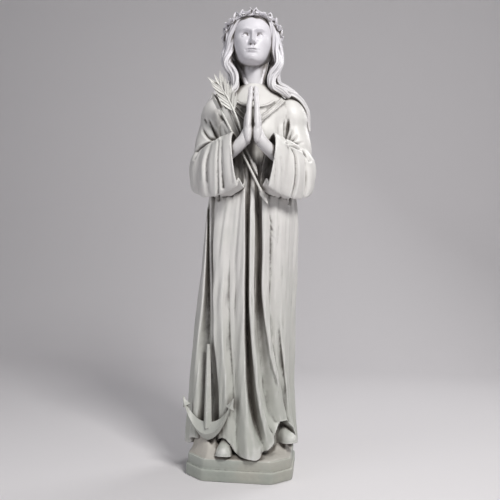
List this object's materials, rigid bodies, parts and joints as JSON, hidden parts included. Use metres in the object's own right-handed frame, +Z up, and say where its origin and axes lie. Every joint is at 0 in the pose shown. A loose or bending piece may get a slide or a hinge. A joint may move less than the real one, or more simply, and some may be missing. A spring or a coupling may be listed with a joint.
{
  "type": "saint statue",
  "caption": "Praying young saint in a long wide-sleeved gown and a wreath of roses and leaves, with arrows, a palm branch and an anchor, on a stepped plinth with cut corners.",
  "frame": {"origin": "middle of the plinth's underside, at ground level", "axes": "+Z up, front of the plinth towards -Y, +X to the viewer's right"},
  "size_m": [0.461, 0.3775, 1.5853],
  "materials": {
    "figure": "satin",
    "plinth": "satin",
    "attributes": "satin"
  },
  "bodies": {
    "root": {"figure": "figure", "plinth": "plinth", "anchor": "attributes", "palm_branch": "attributes", "arrow_1": "attributes", "arrow_2": "attributes"}
  },
  "joints": []
}
